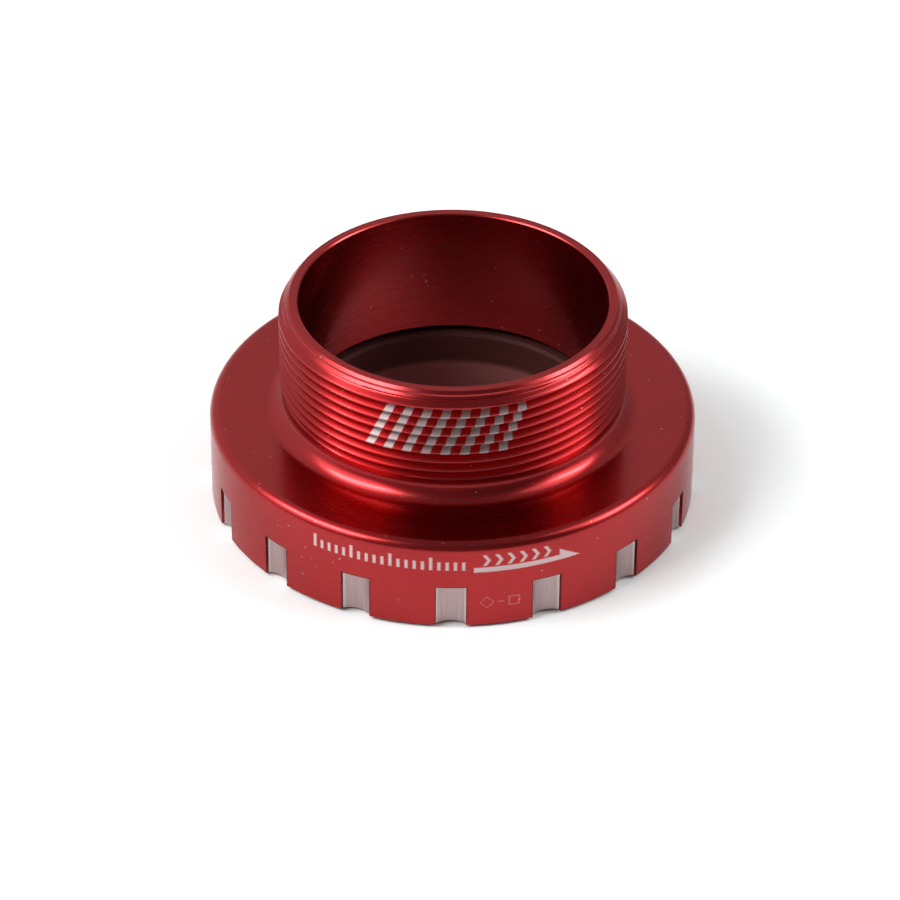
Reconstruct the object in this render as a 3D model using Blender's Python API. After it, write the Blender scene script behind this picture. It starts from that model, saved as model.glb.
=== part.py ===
"""Non-drive-side cup of a threaded bottom bracket, with its cartridge bearing, seals and dust cover.

Frame: the origin is the centre of the cup's outboard face, the face that the cup stands on. +Z runs along
the axle's axis, from the crank side up the threaded barrel to the frame's shell. The pieces are a cup body,
a 30 x 42 x 7 mm ball bearing with its two seals, and the dust cover over the bearing's crank side. The inner
ring and the dust cover turn about Z, and the cage carries the balls round the same axis.
"""
import math

import bmesh
import bpy

MM = 0.001

# The side that one notch and the thread's first full turn share, towards -Y
FRONT_ANGLE = math.radians(-90)

# Threaded barrel: 1.37 inch diameter, 24 threads to the inch, 60 degree form, right-hand
THREAD_CREST_RADIUS = 17.35 * MM
THREAD_PITCH = 25.4 / 24 * MM
THREAD_DEPTH = 0.65 * MM
THREAD_CREST_WIDTH = 0.18 * MM
THREAD_FLANK_ANGLE = math.radians(30)
THREAD_START_Z = 12.3 * MM
FIRST_CREST_Z = 12.55 * MM
BARREL_TOP_Z = 22.4 * MM
BARREL_BORE_RADIUS = 15.4 * MM
RIM_OUTER_RADIUS = 16.3 * MM
RIM_OUTER_CHAMFER = 0.27 * MM
RIM_LAND_WIDTH = 0.22 * MM
RIM_INNER_CHAMFER = 0.12 * MM

# Flange, with the fillet that joins it to the barrel's relief neck, and the raised foot under it
FLANGE_RADIUS = 24.4 * MM
FLANGE_HEIGHT = 9.9 * MM
FLANGE_EDGE_RADIUS = 1.0 * MM
FOOT_RADIUS = 23.2 * MM
FOOT_HEIGHT = 0.3 * MM
NECK_FILLET_RADIUS = 2.0 * MM

# Spanner notches
NOTCH_COUNT = 16
NOTCH_WIDTH = 2.9 * MM
NOTCH_HEIGHT = 4.8 * MM
NOTCH_SIDE_DEPTH = 0.35 * MM
NOTCH_CUTTER_RADIUS = 2.4 * MM

# Bearing seat, open at the outboard face, with a relief that clears the inner ring
SEAT_RADIUS = 21.0 * MM
SEAT_DEPTH = 8.3 * MM
SEAT_MOUTH_CHAMFER = 0.5 * MM
SEAT_RELIEF_RADIUS = 18.6 * MM
SEAT_RELIEF_DEPTH = 0.5 * MM

# Cartridge bearing, 30 x 42 x 7 mm
BEARING_BORE_RADIUS = 15.0 * MM
BEARING_WIDTH = 7.0 * MM
BEARING_SHOULDER_GAP = 0.3 * MM
PRESS_FIT_GAP = 0.05 * MM
BALL_COUNT = 20
BALL_RADIUS = 25.4 / 16 * MM
RACEWAY_CLEARANCE = 0.11 * MM
PITCH_RADIUS = 18.0 * MM
INNER_LAND_RADIUS = 16.95 * MM
OUTER_LAND_RADIUS = 19.05 * MM
RING_CHAMFER = 0.3 * MM

# Ball cage
CAGE_INNER_RADIUS = 17.35 * MM
CAGE_OUTER_RADIUS = 18.65 * MM
CAGE_POCKET_CLEARANCE = 0.16 * MM
CAGE_BASE_THICKNESS = 0.4 * MM
CAGE_FINGER_HEIGHT = 0.8 * MM

# Seals
SEAL_SEAT_RADIUS = 19.6 * MM
SEAL_SEAT_DEPTH = 0.85 * MM
SEAL_RECESS = 0.15 * MM
SEAL_THICKNESS = 0.6 * MM
SEAL_LIP_GAP = 0.08 * MM
INSERT_THICKNESS = 0.22 * MM
INSERT_INNER_RADIUS = 17.4 * MM
INSERT_OUTER_RADIUS = 18.95 * MM
INSERT_GAP = 0.05 * MM

# Dust cover in the seat's mouth
COVER_BORE_RADIUS = 15.05 * MM
COVER_RADIUS = 20.3 * MM
COVER_THICKNESS = 0.6 * MM
COVER_RECESS = 0.1 * MM
COVER_STEP_RADIUS = 17.2 * MM
COVER_STEP_DEPTH = 0.2 * MM
COVER_LIP_GAP = 0.05 * MM
COVER_LIP_RADIUS = 20.9 * MM

# Facets round the turned pieces
CUP_SEGMENTS = 64
RING_SEGMENTS = 48

THREAD_ROOT_RADIUS = THREAD_CREST_RADIUS - THREAD_DEPTH
RIM_EDGE_RADIUS = RIM_OUTER_RADIUS + RIM_OUTER_CHAMFER
RIM_EDGE_Z = BARREL_TOP_Z - RIM_OUTER_CHAMFER
LEAD_IN_TOP_Z = RIM_EDGE_Z - RIM_LAND_WIDTH
LEAD_IN_ROOT_Z = LEAD_IN_TOP_Z - (THREAD_ROOT_RADIUS - RIM_EDGE_RADIUS)
LEAD_IN_END_Z = LEAD_IN_TOP_Z - (THREAD_CREST_RADIUS - RIM_EDGE_RADIUS)
BEARING_INBOARD_Z = SEAT_DEPTH - BEARING_SHOULDER_GAP
BEARING_OUTBOARD_Z = BEARING_INBOARD_Z - BEARING_WIDTH
BEARING_MID_Z = (BEARING_INBOARD_Z + BEARING_OUTBOARD_Z) / 2
RACEWAY_RADIUS = BALL_RADIUS + RACEWAY_CLEARANCE


def clear_scene():
    """Remove whatever the file holds, so that the part starts from nothing."""
    for obj in list(bpy.data.objects):
        bpy.data.objects.remove(obj, do_unlink=True)


def make_material(name, colour, roughness, metallic):
    """Return a Principled material of one colour."""
    material = bpy.data.materials.new(name)
    material.use_nodes = True
    shader = material.node_tree.nodes["Principled BSDF"]
    shader.inputs["Base Color"].default_value = (*colour, 1.0)
    shader.inputs["Roughness"].default_value = roughness
    shader.inputs["Metallic"].default_value = metallic
    return material


def make_axis(name, z):
    """Return an empty on the axle's axis, which the pieces that turn together hang on."""
    axis = bpy.data.objects.new(name, None)
    axis.location = (0.0, 0.0, z)
    axis.empty_display_size = BEARING_BORE_RADIUS
    bpy.context.scene.collection.objects.link(axis)
    return axis


def add_object(name, mesh, material, parent=None, location=(0.0, 0.0, 0.0)):
    """Put a mesh in the scene as one named sub-part, at a location under its parent."""
    obj = bpy.data.objects.new(name, mesh)
    obj.location = location
    obj.parent = parent
    bpy.context.scene.collection.objects.link(obj)
    if material is not None and not mesh.materials:
        mesh.materials.append(material)
    return obj


def add_guide(name, mesh):
    """Put a mesh in the scene as a cutter or a guide, which isn't part of the object."""
    guide = add_object(name, mesh, None)
    guide.hide_render = True
    guide.display_type = "WIRE"
    return guide


def finish_mesh(name, bm, smooth_angle=math.radians(35)):
    """Turn a bmesh into a mesh with outward faces, shaded smooth up to an angle."""
    bmesh.ops.recalc_face_normals(bm, faces=bm.faces)
    mesh = bpy.data.meshes.new(name)
    bm.to_mesh(mesh)
    bm.free()
    mesh.shade_smooth()
    mesh.set_sharp_from_angle(angle=smooth_angle)
    return mesh


def arc(centre_r, centre_z, radius, start, end, steps):
    """Return points (r, z) along an arc, from the angle start to the angle end, in degrees."""
    angles = [math.radians(start + (end - start) * step / steps) for step in range(steps + 1)]
    return [(centre_r + radius * math.cos(a), centre_z + radius * math.sin(a)) for a in angles]


def turned(name, profile, segments):
    """Spin a closed outline of points (r, z) round the Z axis into a closed ring."""
    bm = bmesh.new()
    verts = [bm.verts.new((r, 0.0, z)) for r, z in profile]
    edges = [bm.edges.new((verts[i - 1], verts[i])) for i in range(len(verts))]
    bmesh.ops.spin(
        bm,
        geom=verts + edges,
        cent=(0.0, 0.0, 0.0),
        axis=(0.0, 0.0, 1.0),
        angle=2 * math.pi,
        steps=segments,
        use_merge=True,
    )
    return finish_mesh(name, bm)


def mirrored(profile, mid_z):
    """Return an outline's mirror image in the plane at mid_z, in the opposite order."""
    return [(r, 2 * mid_z - z) for r, z in reversed(profile)]


def add_turned_on_axis(name, profile, material, axis):
    """Add a turned piece whose outline is in the cup's heights, with its origin on a turning axis."""
    lowered = [(r, z - axis.location.z) for r, z in profile]
    return add_object(name, turned(name, lowered, RING_SEGMENTS), material, axis)


def add_boolean(obj, operation, other):
    """Cut or join another closed mesh with an exact Boolean that stays on the object."""
    modifier = obj.modifiers.new(f"{operation.lower()}_{other.name}", "BOOLEAN")
    modifier.operation = operation
    modifier.solver = "EXACT"
    modifier.object = other


# ---------------------------------------------------------------- cup body


def cup_profile():
    """Outline of the cup without its thread, from the bore's top edge round the outside and the seat."""
    rim = [
        (BARREL_BORE_RADIUS, BARREL_TOP_Z - RIM_INNER_CHAMFER),
        (BARREL_BORE_RADIUS + RIM_INNER_CHAMFER, BARREL_TOP_Z),
        (RIM_OUTER_RADIUS, BARREL_TOP_Z),
        (RIM_EDGE_RADIUS, RIM_EDGE_Z),
        (RIM_EDGE_RADIUS, LEAD_IN_TOP_Z),
        (THREAD_ROOT_RADIUS, LEAD_IN_ROOT_Z),
    ]
    fillet = arc(
        THREAD_ROOT_RADIUS + NECK_FILLET_RADIUS, FLANGE_HEIGHT + NECK_FILLET_RADIUS,
        NECK_FILLET_RADIUS, 180, 270, 6,
    )
    flange_edge = arc(
        FLANGE_RADIUS - FLANGE_EDGE_RADIUS, FLANGE_HEIGHT - FLANGE_EDGE_RADIUS,
        FLANGE_EDGE_RADIUS, 90, 0, 4,
    )
    foot = [
        (FLANGE_RADIUS, FOOT_HEIGHT),
        (FOOT_RADIUS, FOOT_HEIGHT),
        (FOOT_RADIUS, 0.0),
    ]
    seat = [
        (SEAT_RADIUS + SEAT_MOUTH_CHAMFER, 0.0),
        (SEAT_RADIUS, SEAT_MOUTH_CHAMFER),
        (SEAT_RADIUS, SEAT_DEPTH),
        (SEAT_RELIEF_RADIUS, SEAT_DEPTH),
        (SEAT_RELIEF_RADIUS, SEAT_DEPTH + SEAT_RELIEF_DEPTH),
        (BARREL_BORE_RADIUS, SEAT_DEPTH + SEAT_RELIEF_DEPTH),
    ]
    return rim + fillet + flange_edge + foot + seat


def thread_ridge():
    """The thread's ridge: one trapezoid swept up a right-hand helix, its base sunk in the barrel."""
    base_sink = 0.08 * MM
    foot_sink = 0.4 * MM
    foot_half_width = 0.3 * MM
    crest_half_width = THREAD_CREST_WIDTH / 2
    base_half_width = crest_half_width + (THREAD_DEPTH + base_sink) * math.tan(THREAD_FLANK_ANGLE)
    section = [
        (THREAD_ROOT_RADIUS - foot_sink, -foot_half_width),
        (THREAD_ROOT_RADIUS - base_sink, -base_half_width),
        (THREAD_CREST_RADIUS, -crest_half_width),
        (THREAD_CREST_RADIUS, crest_half_width),
        (THREAD_ROOT_RADIUS - base_sink, base_half_width),
        (THREAD_ROOT_RADIUS - foot_sink, foot_half_width),
    ]
    turns_below = 1
    turns = math.ceil((BARREL_TOP_Z - THREAD_START_Z) / THREAD_PITCH) + turns_below + 1
    bm = bmesh.new()
    rows = []
    for step in range(turns * CUP_SEGMENTS + 1):
        angle = 2 * math.pi * step / CUP_SEGMENTS + FRONT_ANGLE
        rise = FIRST_CREST_Z + THREAD_PITCH * (step / CUP_SEGMENTS - turns_below)
        rows.append([
            bm.verts.new((r * math.cos(angle), r * math.sin(angle), rise + dz)) for r, dz in section
        ])
    for row, next_row in zip(rows, rows[1:]):
        for i in range(len(section)):
            bm.faces.new((row[i - 1], row[i], next_row[i], next_row[i - 1]))
    bm.faces.new(rows[0])
    bm.faces.new(reversed(rows[-1]))
    return finish_mesh("thread_ridge", bm)


def thread_envelope():
    """Turned shape that ends the ridge at the relief neck and cuts it off along the lead-in cone."""
    skin = 0.02 * MM
    inner_radius = THREAD_ROOT_RADIUS - 0.6 * MM
    outline = [
        (inner_radius, THREAD_START_Z),
        (THREAD_ROOT_RADIUS + skin, THREAD_START_Z),
        (THREAD_CREST_RADIUS + skin, THREAD_START_Z + THREAD_DEPTH / 2),
        (THREAD_CREST_RADIUS + skin, LEAD_IN_END_Z),
        (THREAD_ROOT_RADIUS - 3 * skin, LEAD_IN_ROOT_Z),
        (inner_radius, LEAD_IN_ROOT_Z),
    ]
    return turned("thread_envelope", outline, CUP_SEGMENTS)


def notch_cutter():
    """All the notch shapes in one mesh: square sides, and a floor hollowed by a round cutter."""
    half_width = NOTCH_WIDTH / 2
    overrun = 1.0 * MM
    wall_radius = FLANGE_RADIUS - NOTCH_SIDE_DEPTH
    half_angle = math.asin(half_width / NOTCH_CUTTER_RADIUS)
    centre_radius = wall_radius + NOTCH_CUTTER_RADIUS * math.cos(half_angle)
    floor_steps = 6
    outline = [(FLANGE_RADIUS + overrun, -half_width)]
    for step in range(floor_steps + 1):
        angle = half_angle * (2 * step / floor_steps - 1)
        outline.append((
            centre_radius - NOTCH_CUTTER_RADIUS * math.cos(angle),
            NOTCH_CUTTER_RADIUS * math.sin(angle),
        ))
    outline.append((FLANGE_RADIUS + overrun, half_width))
    bm = bmesh.new()
    for index in range(NOTCH_COUNT):
        turn = FRONT_ANGLE + 2 * math.pi * index / NOTCH_COUNT
        floor_face = bm.faces.new([
            bm.verts.new((
                x * math.cos(turn) - y * math.sin(turn),
                x * math.sin(turn) + y * math.cos(turn),
                -overrun,
            )) for x, y in outline
        ])
        raised = bmesh.ops.extrude_face_region(bm, geom=[floor_face], use_keep_orig=True)
        top = [item for item in raised["geom"] if isinstance(item, bmesh.types.BMVert)]
        bmesh.ops.translate(bm, verts=top, vec=(0.0, 0.0, overrun + NOTCH_HEIGHT))
    return finish_mesh("notch_cutter", bm)


def build_cup(material):
    """The cup body: the turned blank, its thread and its spanner notches."""
    cup = add_object("cup_body", turned("cup_body", cup_profile(), CUP_SEGMENTS), material)
    ridge = add_guide("thread_ridge", thread_ridge())
    add_boolean(ridge, "INTERSECT", add_guide("thread_envelope", thread_envelope()))
    add_boolean(cup, "UNION", ridge)
    add_boolean(cup, "DIFFERENCE", add_guide("notch_cutter", notch_cutter()))
    return cup


# ---------------------------------------------------------------- bearing


def inner_ring_profile():
    """Outline of the inner ring, with the deep groove that the balls roll in."""
    groove_angle = math.degrees(math.acos((PITCH_RADIUS - INNER_LAND_RADIUS) / RACEWAY_RADIUS))
    groove = arc(PITCH_RADIUS, BEARING_MID_Z, RACEWAY_RADIUS, 180 + groove_angle, 180 - groove_angle, 6)
    outboard = [
        (BEARING_BORE_RADIUS, BEARING_OUTBOARD_Z + RING_CHAMFER),
        (BEARING_BORE_RADIUS + RING_CHAMFER, BEARING_OUTBOARD_Z),
        (INNER_LAND_RADIUS, BEARING_OUTBOARD_Z),
    ]
    return outboard + groove + mirrored(outboard, BEARING_MID_Z)


def outer_ring_profile():
    """Outline of the outer ring, with its raceway and a step at each face that holds a seal."""
    groove_angle = math.degrees(math.acos((OUTER_LAND_RADIUS - PITCH_RADIUS) / RACEWAY_RADIUS))
    groove = arc(PITCH_RADIUS, BEARING_MID_Z, RACEWAY_RADIUS, groove_angle, -groove_angle, 6)
    outer_radius = SEAT_RADIUS - PRESS_FIT_GAP
    outboard = [
        (OUTER_LAND_RADIUS, BEARING_OUTBOARD_Z + SEAL_SEAT_DEPTH),
        (SEAL_SEAT_RADIUS, BEARING_OUTBOARD_Z + SEAL_SEAT_DEPTH),
        (SEAL_SEAT_RADIUS, BEARING_OUTBOARD_Z),
        (outer_radius - RING_CHAMFER, BEARING_OUTBOARD_Z),
        (outer_radius, BEARING_OUTBOARD_Z + RING_CHAMFER),
    ]
    return groove + outboard + mirrored(outboard, BEARING_MID_Z)


def ball_mesh():
    """One ball, with its own centre as its origin."""
    bm = bmesh.new()
    bmesh.ops.create_icosphere(bm, subdivisions=2, radius=BALL_RADIUS)
    return finish_mesh("ball", bm)


def cage_mesh():
    """Crown cage about its own origin: a ring whose inboard side has a round pocket for each ball."""
    pocket_radius = BALL_RADIUS + CAGE_POCKET_CLEARANCE
    pocket_steps = 5
    ball_pitch = 2 * math.pi / BALL_COUNT
    pocket_half_angle = pocket_radius / PITCH_RADIUS
    finger_taper = 0.2 * MM / PITCH_RADIUS
    crown = []
    for index in range(BALL_COUNT):
        ball_angle = index * ball_pitch
        for step in range(pocket_steps + 1):
            lean = math.pi * (step / pocket_steps - 0.5)
            crown.append((ball_angle + pocket_half_angle * math.sin(lean), -pocket_radius * math.cos(lean)))
        crown.append((ball_angle + pocket_half_angle + finger_taper, CAGE_FINGER_HEIGHT))
        crown.append((ball_angle + ball_pitch - pocket_half_angle - finger_taper, CAGE_FINGER_HEIGHT))
    base_z = -pocket_radius - CAGE_BASE_THICKNESS
    bm = bmesh.new()
    columns = []
    for angle, crown_z in crown:
        corners = (
            (CAGE_INNER_RADIUS, base_z),
            (CAGE_OUTER_RADIUS, base_z),
            (CAGE_OUTER_RADIUS, crown_z),
            (CAGE_INNER_RADIUS, crown_z),
        )
        columns.append([bm.verts.new((r * math.cos(angle), r * math.sin(angle), z)) for r, z in corners])
    for index, column in enumerate(columns):
        previous = columns[index - 1]
        for corner in range(4):
            bm.faces.new((previous[corner - 1], column[corner - 1], column[corner], previous[corner]))
    return finish_mesh("ball_cage", bm)


def rubber_profile():
    """Outline of the outboard seal's rubber, whose lip stops just short of the inner ring's land."""
    outer_face_z = BEARING_OUTBOARD_Z + SEAL_RECESS
    inner_face_z = outer_face_z + SEAL_THICKNESS
    lip_radius = INNER_LAND_RADIUS + SEAL_LIP_GAP
    bead_radius = SEAL_SEAT_RADIUS - SEAL_LIP_GAP
    lip_taper = 0.25 * MM
    return [
        (lip_radius, outer_face_z),
        (lip_radius, outer_face_z + lip_taper),
        (lip_radius + lip_taper, inner_face_z),
        (bead_radius, inner_face_z),
        (bead_radius, outer_face_z + lip_taper),
        (bead_radius - lip_taper, outer_face_z),
    ]


def insert_profile():
    """Outline of the steel washer bonded to the outboard seal's inner side."""
    face_z = BEARING_OUTBOARD_Z + SEAL_RECESS + SEAL_THICKNESS + INSERT_GAP
    return [
        (INSERT_INNER_RADIUS, face_z),
        (INSERT_OUTER_RADIUS, face_z),
        (INSERT_OUTER_RADIUS, face_z + INSERT_THICKNESS),
        (INSERT_INNER_RADIUS, face_z + INSERT_THICKNESS),
    ]


def build_bearing(steel, ball_steel, nylon, rubber, plated, inner_axis, cage_axis):
    """The cartridge bearing: two rings, the caged balls, and a seal on each side."""
    add_object("bearing_outer_ring", turned("outer_ring", outer_ring_profile(), RING_SEGMENTS), steel)
    add_turned_on_axis("bearing_inner_ring", inner_ring_profile(), steel, inner_axis)
    add_object("ball_cage", cage_mesh(), nylon, cage_axis)
    ball = ball_mesh()
    for index in range(BALL_COUNT):
        angle = 2 * math.pi * index / BALL_COUNT
        place = (PITCH_RADIUS * math.cos(angle), PITCH_RADIUS * math.sin(angle), 0.0)
        add_object(f"ball_{index + 1:02d}", ball, ball_steel, cage_axis, place)
    for part, profile, material in (("rubber", rubber_profile(), rubber), ("insert", insert_profile(), plated)):
        inboard = mirrored(profile, BEARING_MID_Z)
        add_object(f"seal_outboard_{part}", turned(f"outboard_{part}", profile, RING_SEGMENTS), material)
        add_object(f"seal_inboard_{part}", turned(f"inboard_{part}", inboard, RING_SEGMENTS), material)


# ---------------------------------------------------------------- dust cover


def build_dust_cover(cover_material, rubber, inner_axis):
    """The washer that closes the seat's mouth, and the rubber lip round it."""
    top_z = COVER_RECESS + COVER_THICKNESS
    step_z = COVER_RECESS + COVER_STEP_DEPTH
    cover = [
        (COVER_BORE_RADIUS, COVER_RECESS),
        (COVER_STEP_RADIUS, COVER_RECESS),
        (COVER_STEP_RADIUS + COVER_STEP_DEPTH, step_z),
        (COVER_RADIUS, step_z),
        (COVER_RADIUS, top_z),
        (COVER_BORE_RADIUS, top_z),
    ]
    lip = [
        (COVER_RADIUS + COVER_LIP_GAP, step_z),
        (COVER_LIP_RADIUS - COVER_STEP_DEPTH, COVER_RECESS),
        (COVER_LIP_RADIUS, step_z),
        (COVER_LIP_RADIUS, top_z),
        (COVER_RADIUS + COVER_LIP_GAP, top_z),
    ]
    add_turned_on_axis("dust_cover", cover, cover_material, inner_axis)
    add_turned_on_axis("dust_cover_lip", lip, rubber, inner_axis)


def main():
    clear_scene()
    red_anodised = make_material("red_anodised_aluminium", (0.42, 0.004, 0.008), 0.28, 1.0)
    ring_steel = make_material("blackened_bearing_steel", (0.1, 0.09, 0.088), 0.35, 1.0)
    ball_steel = make_material("polished_ball_steel", (0.6, 0.6, 0.62), 0.08, 1.0)
    nylon = make_material("cage_nylon", (0.62, 0.58, 0.48), 0.5, 0.0)
    rubber = make_material("seal_rubber", (0.02, 0.02, 0.022), 0.65, 0.0)
    plated = make_material("plated_insert_steel", (0.5, 0.5, 0.48), 0.35, 1.0)
    cover_black = make_material("black_anodised_cover", (0.03, 0.03, 0.033), 0.4, 1.0)
    inner_axis = make_axis("inner_ring_axis", BEARING_MID_Z)
    cage_axis = make_axis("cage_axis", BEARING_MID_Z)
    build_cup(red_anodised)
    build_bearing(ring_steel, ball_steel, nylon, rubber, plated, inner_axis, cage_axis)
    build_dust_cover(cover_black, rubber, inner_axis)


main()
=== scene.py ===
"""Looks for the non-drive-side bottom bracket cup: fine turned meshes, an anodised finish and a studio."""

import math

import bmesh
import bpy
from mathutils import Matrix, Vector


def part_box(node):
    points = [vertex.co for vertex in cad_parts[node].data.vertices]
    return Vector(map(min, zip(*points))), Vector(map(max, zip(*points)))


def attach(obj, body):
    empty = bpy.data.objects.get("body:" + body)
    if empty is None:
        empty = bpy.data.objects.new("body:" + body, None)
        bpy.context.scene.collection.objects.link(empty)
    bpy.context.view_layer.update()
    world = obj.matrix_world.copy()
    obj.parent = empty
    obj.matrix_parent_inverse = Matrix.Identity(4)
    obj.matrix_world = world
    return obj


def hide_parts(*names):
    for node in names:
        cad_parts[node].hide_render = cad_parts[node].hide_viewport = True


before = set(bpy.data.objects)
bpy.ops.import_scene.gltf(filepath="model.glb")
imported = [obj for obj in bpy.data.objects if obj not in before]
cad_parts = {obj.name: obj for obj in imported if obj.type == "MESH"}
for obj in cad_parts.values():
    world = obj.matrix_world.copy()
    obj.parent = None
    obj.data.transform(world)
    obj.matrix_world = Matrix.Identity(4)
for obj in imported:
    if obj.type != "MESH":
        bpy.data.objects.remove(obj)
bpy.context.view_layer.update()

MM = 0.001

# Sizes that the frame gives
CUP_LOW, CUP_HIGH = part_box("cup_body")
FLANGE_RADIUS = (CUP_HIGH.x - CUP_LOW.x) / 2
BARREL_TOP_Z = CUP_HIGH.z
INNER_LOW, INNER_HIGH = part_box("bearing_inner_ring")
BEARING_OUTBOARD_Z = INNER_LOW.z
BEARING_INBOARD_Z = INNER_HIGH.z
BEARING_MID_Z = (BEARING_OUTBOARD_Z + BEARING_INBOARD_Z) / 2
OUTER_RING_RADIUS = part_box("bearing_outer_ring")[1].x
INNER_LAND_RADIUS = INNER_HIGH.x
COVER_LOW, COVER_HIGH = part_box("dust_cover")
LIP_LOW, LIP_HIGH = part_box("dust_cover_lip")

# Sizes of the cup that its box doesn't show
FRONT_ANGLE = math.radians(-90)
THREAD_CREST_RADIUS = 17.35 * MM
THREAD_ROOT_RADIUS = 16.7 * MM
THREAD_PITCH = 25.4 / 24 * MM
THREAD_CREST_WIDTH = 0.18 * MM
THREAD_FLANK_ANGLE = math.radians(30)
THREAD_START_Z = 12.3 * MM
FIRST_CREST_Z = 12.55 * MM
BARREL_BORE_RADIUS = 15.4 * MM
RIM_OUTER_RADIUS = 16.3 * MM
RIM_OUTER_CHAMFER = 0.27 * MM
RIM_LAND_WIDTH = 0.22 * MM
RIM_INNER_CHAMFER = 0.12 * MM
FLANGE_HEIGHT = 9.9 * MM
FLANGE_EDGE_RADIUS = 1.0 * MM
FOOT_RADIUS = 23.2 * MM
FOOT_HEIGHT = 0.3 * MM
NECK_FILLET_RADIUS = 2.0 * MM
NOTCH_COUNT = 16
NOTCH_WIDTH = 2.9 * MM
NOTCH_HEIGHT = 4.8 * MM
NOTCH_SIDE_DEPTH = 0.35 * MM
NOTCH_CUTTER_RADIUS = 2.4 * MM
SEAT_RADIUS = 21.0 * MM
SEAT_DEPTH = 8.3 * MM
SEAT_MOUTH_CHAMFER = 0.5 * MM
SEAT_RELIEF_RADIUS = 18.6 * MM
SEAT_RELIEF_DEPTH = 0.5 * MM

# Sizes of the bearing's pieces
BALL_COUNT = 20
BALL_RADIUS = 25.4 / 16 * MM
PITCH_RADIUS = 18.0 * MM
RACEWAY_RADIUS = BALL_RADIUS + 0.11 * MM
BEARING_BORE_RADIUS = 15.0 * MM
OUTER_LAND_RADIUS = 19.05 * MM
SEAL_SEAT_RADIUS = 19.6 * MM
SEAL_SEAT_DEPTH = 0.85 * MM
SEAL_LIP_GAP = 0.08 * MM
INSERT_INNER_RADIUS = 17.4 * MM
RING_CHAMFER = 0.3 * MM
COVER_STEP_RADIUS = 17.2 * MM
COVER_STEP_DEPTH = 0.2 * MM
COVER_BORE_RADIUS = 15.05 * MM
COVER_LIP_GAP = 0.05 * MM
CAGE_INNER_RADIUS = 17.35 * MM
CAGE_POCKET_RADIUS = BALL_RADIUS + 0.16 * MM

LEAD_IN_ROUNDING = 0.02 * MM
RIM_EDGE_RADIUS = RIM_OUTER_RADIUS + RIM_OUTER_CHAMFER
RIM_EDGE_Z = BARREL_TOP_Z - RIM_OUTER_CHAMFER
LEAD_IN_TOP_Z = RIM_EDGE_Z - RIM_LAND_WIDTH

# Camera: the aim point is near the cup's middle, and the roll is the photographer's slight tilt
CAMERA_DISTANCE = 445.9 * MM
CAMERA_ELEVATION = math.radians(35.8)
CAMERA_ROLL = math.radians(0.42)
CAMERA_LENS = 175.0
CAMERA_SENSOR_WIDTH = 36.0
CAMERA_AIM = Vector((-0.225 * MM, 0.0, 3.89 * MM))

# Studio: its floor and lights, and the brightness of its surroundings
FLOOR_RADIUS = 0.4
SOFTBOX_DISTANCE = 0.6
WALL_BRIGHTNESS = 0.85
CEILING_BRIGHTNESS = 0.27
CEILING_START = 0.7
FRONT_DIMMING = 0.7
RIGHT_DIMMING = 0.5

# Distance in millimetres, to each side of a mark's edge, over which the mark fades
MARK_EDGE = 0.06

# Fineness of the meshes
RING_STEPS = 256
NOTCH_LIP = 0.02 * MM
MERGE_DISTANCE = 0.0005 * MM
SMOOTH_ANGLE = math.radians(40)


# ---------------------------------------------------------------- outlines


def soften(corners, closed=True):
    """Round each corner (r, z, radius) of an outline, with a short straight run before and after it."""
    outline = []
    run = 0.03 * MM
    arc_steps = 4
    for i, (r, z, radius) in enumerate(corners):
        if radius == 0 or (not closed and i in (0, len(corners) - 1)):
            outline.append((r, z))
            continue
        here = Vector((r, z))
        before = (Vector(corners[i - 1][:2]) - here).normalized()
        after = (Vector(corners[(i + 1) % len(corners)][:2]) - here).normalized()
        half = before.angle(after) / 2
        reach = radius / math.tan(half)
        centre = here + (before + after).normalized() * (radius / math.sin(half))
        start = here + before * reach - centre
        end = here + after * reach - centre
        first = math.atan2(start.y, start.x)
        sweep = (math.atan2(end.y, end.x) - first + math.pi) % (2 * math.pi) - math.pi
        outline.append(tuple(here + before * (reach + run)))
        for step in range(arc_steps + 1):
            angle = first + sweep * step / arc_steps
            outline.append((centre.x + radius * math.cos(angle), centre.y + radius * math.sin(angle)))
        outline.append(tuple(here + after * (reach + run)))
    return outline


def arc(centre_r, centre_z, radius, start, end, steps):
    """Points (r, z) along an arc between two angles in degrees."""
    angles = [math.radians(start + (end - start) * step / steps) for step in range(steps + 1)]
    return [(centre_r + radius * math.cos(a), centre_z + radius * math.sin(a)) for a in angles]


def mirrored(outline, mid_z):
    """An outline's mirror image in the plane at mid_z, in the opposite order."""
    return [(r, 2 * mid_z - z, *rest) for r, z, *rest in reversed(outline)]


def add_piece(name, verts, faces, materials, body, replaced, face_materials=None):
    """Make a closed mesh, give it its materials, and ride it on a body in place of a CAD node."""
    mesh = bpy.data.meshes.new(name)
    mesh.from_pydata(verts, [], faces)
    for material in materials:
        mesh.materials.append(material)
    if face_materials:
        mesh.polygons.foreach_set("material_index", face_materials)
    bm = bmesh.new()
    bm.from_mesh(mesh)
    bmesh.ops.remove_doubles(bm, verts=bm.verts, dist=MERGE_DISTANCE)
    bmesh.ops.recalc_face_normals(bm, faces=bm.faces)
    bm.to_mesh(mesh)
    bm.free()
    mesh.shade_smooth()
    mesh.set_sharp_from_angle(angle=SMOOTH_ANGLE)
    piece = bpy.data.objects.new(name, mesh)
    bpy.context.scene.collection.objects.link(piece)
    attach(piece, body)
    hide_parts(replaced)
    return piece


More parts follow.
